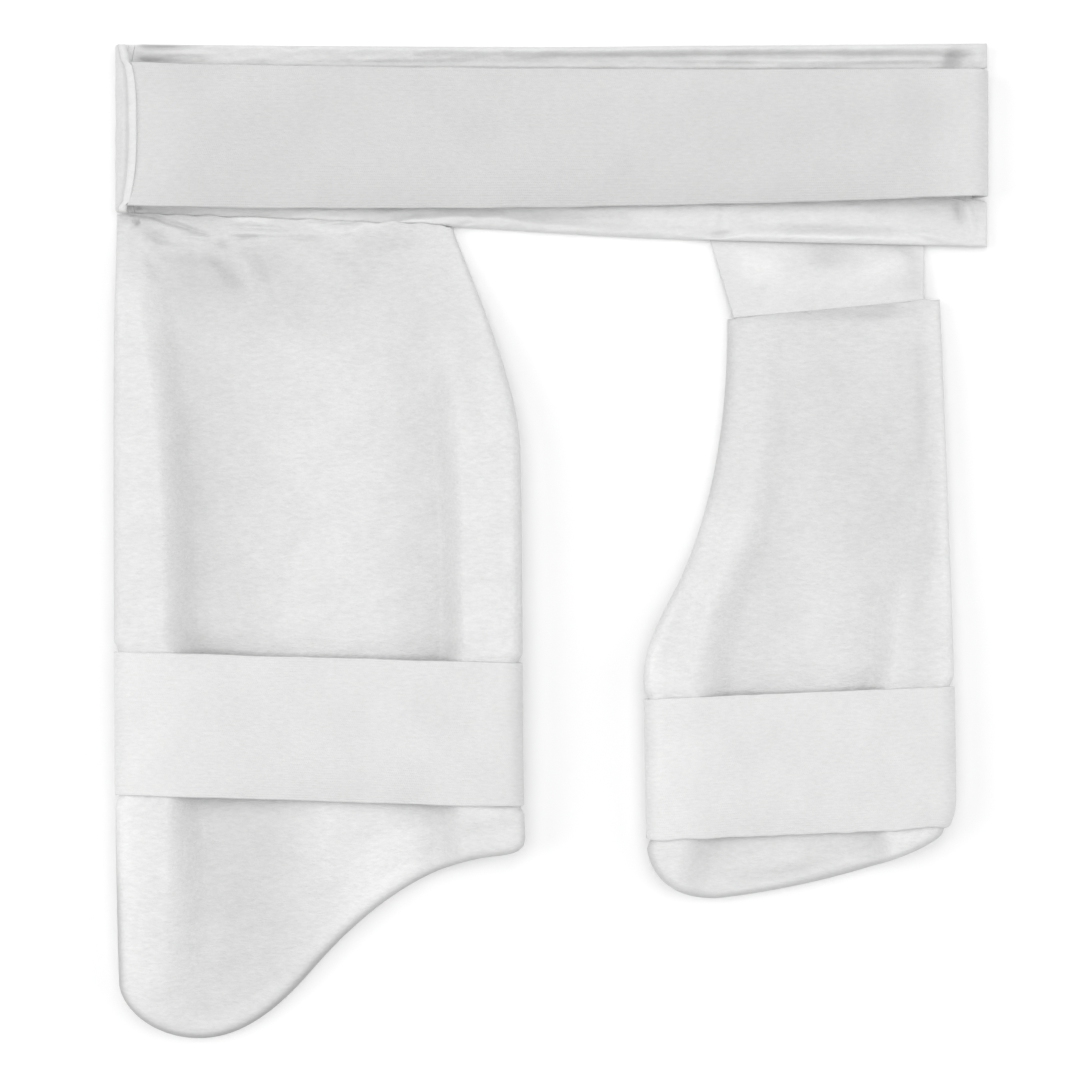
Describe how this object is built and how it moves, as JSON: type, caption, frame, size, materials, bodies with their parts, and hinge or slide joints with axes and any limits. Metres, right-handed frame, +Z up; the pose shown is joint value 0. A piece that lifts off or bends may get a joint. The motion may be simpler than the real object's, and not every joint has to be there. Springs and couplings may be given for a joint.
{
  "type": "cricket thigh guard",
  "caption": "White padded cricket guard for the outer and inner thigh on a cloth waist band, with wide elastic straps, laid flat.",
  "frame": {"origin": "middle of the outline in X and Y, on the surface that the guard lies on", "axes": "+X along the waist band from the folded end to the end that the waist strap turns round, +Y from the pads towards the waist band, +Z up, away from the surface, towards the wearer's side"},
  "size_m": [0.4366, 0.4986, 0.0303],
  "materials": {
    "cover_cloth": "brushed white knit",
    "panel_cloth": "smooth white knit",
    "elastic": "fine ribbed white elastic",
    "hook_tape": "matt white hooks"
  },
  "bodies": {
    "root": {"waist_panel": "panel_cloth", "waist_strap": "elastic", "waist_hook_tape": "hook_tape", "outer_pad": "cover_cloth", "outer_thigh_strap": "elastic", "outer_hook_tape": "hook_tape", "inner_pad_tab": "panel_cloth", "inner_pad": "cover_cloth", "inner_thigh_strap": "elastic", "inner_hook_tape": "hook_tape"}
  },
  "joints": []
}
